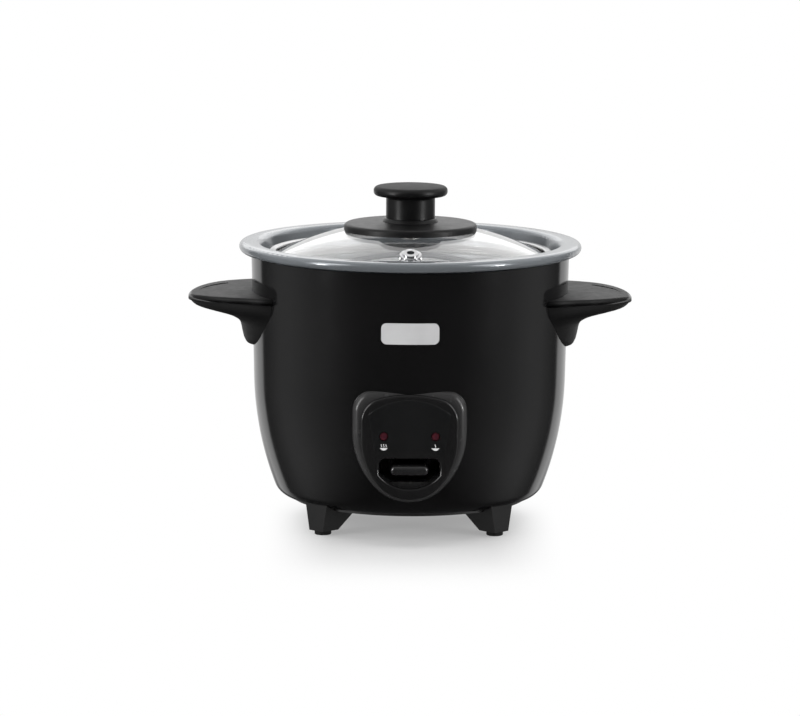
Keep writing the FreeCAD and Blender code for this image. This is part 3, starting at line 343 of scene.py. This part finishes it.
trim_steel = metal("trim_steel", (0.42, 0.42, 0.42), (0.52, 0.52, 0.52),
                   rough=(0.16, 0.24), scale=1500, depth=0.000008, turned=True)
chrome = metal("eyelet_chrome", (0.62, 0.62, 0.63), (0.70, 0.70, 0.71),
               rough=(0.05, 0.10), scale=1200, depth=0.000004)
liner_steel = metal("liner_steel", (0.46, 0.46, 0.46), (0.58, 0.58, 0.57),
                    rough=(0.28, 0.42), scale=900, depth=0.00001, turned=True)
cast_plate = metal("cast_plate", (0.56, 0.56, 0.57), (0.68, 0.68, 0.69),
                   rough=(0.28, 0.46), scale=1600, depth=0.00003, turned=True)
dark_tube = metal("dark_tube", (0.18, 0.16, 0.15), (0.30, 0.28, 0.26),
                  rough=(0.4, 0.6), scale=600, depth=0.00002)
zinc = metal("zinc_plate", (0.46, 0.46, 0.44), (0.60, 0.60, 0.57),
             rough=(0.3, 0.45), scale=1100, depth=0.00001)
brass = metal("pin_brass", (0.60, 0.52, 0.32), (0.74, 0.66, 0.44),
              rough=(0.18, 0.3), scale=1500, depth=0.00001)
black_base = metal("base_paint", (0.014, 0.014, 0.014), (0.026, 0.026, 0.026),
                   rough=(0.4, 0.55), scale=1300, depth=0.00002, metallic=0.0)
# The inside of the pot takes a lighter copy of the edge's coat: painted light, standing for the light that
# reaches into the pot through the glass
pot_inside_painted_light = pot_coating("pot_inside_painted_light", (0.175, 0.186, 0.197), (0.212, 0.224, 0.236), rough=(0.24, 0.32))
pot_edge = pot_coating("pot_edge", (0.138, 0.150, 0.162), (0.184, 0.198, 0.212), rough=(0.18, 0.25))
red_lens = lamp_red()

# Nodes that aren't named here are zinc-plated steel
finishes = {
    "pot_floor": pot_inside_painted_light,
    "pot_corner": pot_inside_painted_light,
    "pot_side": pot_inside_painted_light,
    "pot_ledge": pot_edge,
    "pot_flange": pot_edge,
    "lid_glass": clear_glass(),
    "lid_trim_ring": trim_steel,
    "vent_eyelet": chrome,
    "knob_base": black_knob,
    "knob_grip": black_knob,
    "knob_washer": rubber,
    "outer_shell": shell_black(),
    "shell_lip": black_base,
    "liner_side": liner_steel,
    "liner_floor": liner_steel,
    "heating_plate": cast_plate,
    "sensor_cap": cast_plate,
    "heating_element": dark_tube,
    "sensor_ferrite": ferrite,
    "plunger_magnet": ferrite,
    "panel_bezel": black_bezel,
    "control_panel": black_panel,
    "lever_button": black_button,
    "power_inlet": black_panel,
    "indicator_window": window_black,
    "lamp_cook": red_lens,
    "lamp_warm": red_lens,
    "name_plate": silver_plate,
    "lamp_holder": ivory,
    # The switch lever and bracket behind the switch opening take black finishes so that the opening stays
    # dark: painted shade
    "switch_lever": black_panel,
    "switch_bracket": black_base,
    "contact_switch": ivory,
    "thermal_fuse": ivory,
    "terminal_block": ivory,
    "handle_left": black_handle,
    "handle_right": black_handle,
    "leg_front_left": black_leg,
    "leg_front_right": black_leg,
    "leg_rear_left": black_leg,
    "leg_rear_right": black_leg,
    "foot_pads": rubber,
    "base_plate": black_base,
    "keep_warm_band": mica,
    "inlet_pins": brass,
}

for name, obj in nodes.items():
    obj.data.materials.clear()
    obj.data.materials.append(finishes.get(name, zinc))
    round_shading(obj)


def finished_piece(name, made, material):
    """Turns a drawn mesh into an object of the scene."""
    bmesh.ops.recalc_face_normals(made, faces=made.faces)
    mesh = bpy.data.meshes.new(name)
    made.to_mesh(mesh)
    made.free()
    mesh.materials.append(material)
    obj = bpy.data.objects.new(name, mesh)
    scene.collection.objects.link(obj)
    return obj


# Marks printed under the lamps: a bowl with steam, in metres

mark_drop = 0.0033       # from a lamp's lower edge down to the brim of its bowl
ink_thickness = 0.00005
bowl_half = 0.0019       # half the brim
bowl_belly = 0.82        # half width under the brim, as a share of half the brim
bowl_depth = 0.62        # as a share of half the brim
bowl_steps = 8
wisp_lift = 0.0004       # above the brim
wisp_height = 0.0014
wisp_width = 0.00034
wisp_sway = 0.45         # as a share of the width
wisp_steps = 6
wisp_spacing = 0.0011


def flat_piece(name, outlines, y, thickness, material):
    """Thin raised shapes in the XZ plane, each a closed outline in metres."""
    made = bmesh.new()
    for outline in outlines:
        front = [made.verts.new((x, y - thickness, z)) for x, z in outline]
        back = [made.verts.new((x, y, z)) for x, z in outline]
        made.faces.new(front)
        made.faces.new(list(reversed(back)))
        for index in range(len(outline)):
            after = (index + 1) % len(outline)
            made.faces.new((front[after], front[index], back[index], back[after]))
    return finished_piece(name, made, material)


def bowl(x, z):
    points = [(x - bowl_half, z), (x + bowl_half, z)]
    for step in range(1, bowl_steps):
        turn = math.pi * step / bowl_steps
        across = bowl_half * bowl_belly * math.cos(turn)
        down = bowl_half * bowl_depth * math.sin(turn)
        points.append((x + across, z - down))
    return points


def wisp(x, z):
    """One curl of steam, as a bent stroke."""
    left, right = [], []
    for step in range(wisp_steps + 1):
        up = step / wisp_steps
        middle = x + wisp_sway * wisp_width * math.sin(2 * math.pi * up)
        left.append((middle - wisp_width / 2, z + wisp_height * up))
        right.append((middle + wisp_width / 2, z + wisp_height * up))
    return right + left[::-1]


window_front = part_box("indicator_window")[0].y
lamp_boxes = {"cook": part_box("lamp_cook"), "warm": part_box("lamp_warm")}
curls = {"cook": (-wisp_spacing, 0.0, wisp_spacing), "warm": (0.0,)}
ink = print_white()
for name, (low, high) in lamp_boxes.items():
    middle = (low.x + high.x) / 2
    brim = low.z - mark_drop
    shapes = [bowl(middle, brim)]
    for shift in curls[name]:
        shapes.append(wisp(middle + shift, brim + wisp_lift))
    mark = flat_piece("mark_" + name, shapes, window_front, ink_thickness, ink)
    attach(mark, "cooker")


# Spring under the sensor cap, drawn as a coil in the place of its sleeve

spring_wire = 0.0005     # radius
spring_turns = 6
wire_sides = 8
steps_per_turn = 28


def coil(name, low, high, radius, material):
    """A round wire wound about the upright axis, between two heights."""
    steps = steps_per_turn * spring_turns
    made = bmesh.new()
    rows = []
    for step in range(steps + 1):
        share = step / steps
        turn = 2 * math.pi * spring_turns * share
        rise = low + spring_wire + (high - low - 2 * spring_wire) * share
        row = []
        for side in range(wire_sides):
            tilt = 2 * math.pi * side / wire_sides
            out = radius + spring_wire * math.cos(tilt)
            up = rise + spring_wire * math.sin(tilt)
            row.append(made.verts.new((out * math.cos(turn), out * math.sin(turn), up)))
        rows.append(row)
    for row, after in zip(rows, rows[1:]):
        for side in range(wire_sides):
            beyond = (side + 1) % wire_sides
            made.faces.new((row[side], row[beyond], after[beyond], after[side]))
    made.faces.new(rows[0])
    made.faces.new(rows[-1])
    return finished_piece(name, made, material)


spring_low, spring_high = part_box("sensor_spring")
spring = coil("spring_coil", spring_low.z, spring_high.z, spring_high.x - spring_wire, zinc)
round_shading(spring)
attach(spring, "cooker")
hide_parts("sensor_spring")
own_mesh(spring)


# Floor: where it keeps its shadow, in metres, as courses of start, end, first and last value

floor_size = 14
floor_tone = 0.66
shadow_middle = 0.0015                       # to the right of the object's middle
shadow_side = (0.035, 0.072, 1.0, 0.0)       # outwards from that middle
shadow_front = (-0.185, -0.100, 0.0, 1.0)    # from the camera's side
shadow_back = (0.0, 0.070, 1.0, 0.0)         # away from the camera
white_share = (0.0, 1.0, 1.0, 0.33)          # of plain white, by the depth of the shadow


def floor_material():
    """Matt white that keeps the shadow under the object and in front of it, and fades into white."""
    mat = bpy.data.materials.new("floor_white")
    made = Tree(mat)
    made.tree.nodes.clear()
    matt = made.node("BsdfDiffuse")
    matt.inputs["Color"].default_value = (floor_tone, floor_tone, floor_tone, 1)
    white = made.node("Emission")
    parts = made.split(made.node("TexCoord").outputs["Object"])
    aside = made.math("ABSOLUTE", made.math("SUBTRACT", parts[0], shadow_middle))
    lengthwise = made.math("MULTIPLY", made.ease(parts[1], *shadow_front), made.ease(parts[1], *shadow_back))
    shade = made.math("MULTIPLY", lengthwise, made.ease(aside, *shadow_side))
    share = made.math("MULTIPLY", made.seen(), made.ease(shade, *white_share, "LINEAR"))
    made.mix(share, matt.outputs[0], white.outputs[0], made.node("OutputMaterial"))
    return mat


bpy.ops.mesh.primitive_plane_add(size=floor_size, location=(0, 0, 0))
floor = bpy.context.object
floor.name = "floor"
floor.data.materials.append(floor_material())
floor.visible_glossy = False


# Room, as the object's surfaces mirror it

# Strength of its light all round: cosine of the angle from straight behind, strength
room = ((-1.0, 0.06), (-0.80, 0.10), (-0.61, 0.21), (-0.35, 0.345), (-0.03, 0.48), (0.16, 0.49),
        (0.36, 0.39), (0.53, 0.22), (0.67, 0.11))
room_tilt = 0.01         # turns the room a little to one side
straight_up = 0.001      # keeps the angle defined overhead

# Courses by the height of a direction, or by its angle from behind: start, end, first and last value
room_low = (-0.85, -0.45, 0.12, 1.0)         # the room gets dim far down
room_under = (-0.95, -0.50, 0.08, 0.0)       # a little light from straight below
wall_sides = (0.72, 0.785, 0.0, 1.0)         # the white wall behind begins
wall_middle = (0.90, 0.975, 0.0, 1.0)        # and its middle
wall_foot_side = (-0.62, -0.34, 0.0, 1.0)    # it ends low at its sides
wall_foot_middle = (-0.34, -0.17, 0.0, 1.0)  # and higher in its middle
ceiling_edge = (0.2, 0.45, 0.0, 1.0)
ceiling_light = (-0.5, 0.2, 0.25, 1.2)       # from the camera's side to the far side


def studio_world():
    """White behind the object and above it, and dim on the camera's side of the room."""
    world = bpy.data.worlds.new("studio")
    scene.world = world
    made = Tree(world)
    made.tree.nodes.clear()
    x, y, z = made.split(made.node("TexCoord").outputs["Generated"])
    ahead = made.math("SUBTRACT", y, made.math("MULTIPLY", x, room_tilt))
    turn = made.math("DIVIDE", ahead, made.math("MAXIMUM", made.across((x, y)), straight_up))
    sides = room[0][1]
    for (start, low), (end, high) in zip(room, room[1:]):
        sides = made.math("ADD", sides, made.ease(turn, start, end, 0.0, high - low, "LINEAR"))
    sides = made.math("MULTIPLY", sides, made.ease(z, *room_low))
    sides = made.math("MAXIMUM", sides, made.ease(z, *room_under))
    side_foot = made.ease(z, *wall_foot_side)
    middle_foot = made.ease(z, *wall_foot_middle)
    foot = made.blend(made.ease(turn, *wall_middle), side_foot, middle_foot)
    wall = made.math("MULTIPLY", made.ease(turn, *wall_sides), foot)
    around = made.math("MAXIMUM", sides, wall)
    light = made.blend(made.ease(z, *ceiling_edge), around, made.ease(y, *ceiling_light))
    sky = made.node("Background")
    made.link(made.math("MAXIMUM", light, made.seen()), sky.inputs["Strength"])
    made.link(sky.outputs[0], made.node("OutputWorld").inputs["Surface"])


studio_world()


# Lamps

def softbox(name, place, target, size, watts):
    light = bpy.data.lights.new(name, "AREA")
    light.shape = "RECTANGLE"
    light.size, light.size_y = size
    light.energy = watts
    obj = bpy.data.objects.new(name, light)
    obj.location = place
    obj.rotation_euler = (Vector(target) - Vector(place)).to_track_quat("-Z", "Y").to_euler()
    scene.collection.objects.link(obj)
    return obj


top_light = softbox("top_light", place=(0, 0.3, 1.5), target=(0, 0.2, 0), size=(1.6, 1.8), watts=24)
top_light.visible_glossy = False
softbox("back_light", place=(0, 1.5, 0.95), target=(0, 0, 0.12), size=(2.2, 1.1), watts=6)
softbox("left_light", place=(-1.4, -0.9, 0.9), target=(0, 0, 0.08), size=(0.7, 0.9), watts=9)
softbox("right_light", place=(1.4, -0.9, 0.9), target=(0, 0, 0.08), size=(0.7, 0.9), watts=7)
for x in (-1.25, 1.25):
    softbox("strip_light", place=(x, -0.72, 0.17), target=(0, 0, 0.15), size=(0.16, 0.30), watts=5)


# Camera, at the photo's own place

camera_place = (-0.0066, -2.182, 0.4155)
camera_down = 8.769      # degrees below level
camera_roll = -0.33      # degrees
lens = bpy.data.cameras.new("camera")
lens.sensor_fit = "HORIZONTAL"
lens.sensor_width = 36.0
lens.lens = 205.2
lens.clip_start = 0.1
camera = bpy.data.objects.new("camera", lens)
camera.location = camera_place
camera.rotation_euler = (math.radians(90 - camera_down), math.radians(camera_roll), 0)
scene.collection.objects.link(camera)
scene.camera = camera

scene.view_settings.view_transform = "Standard"
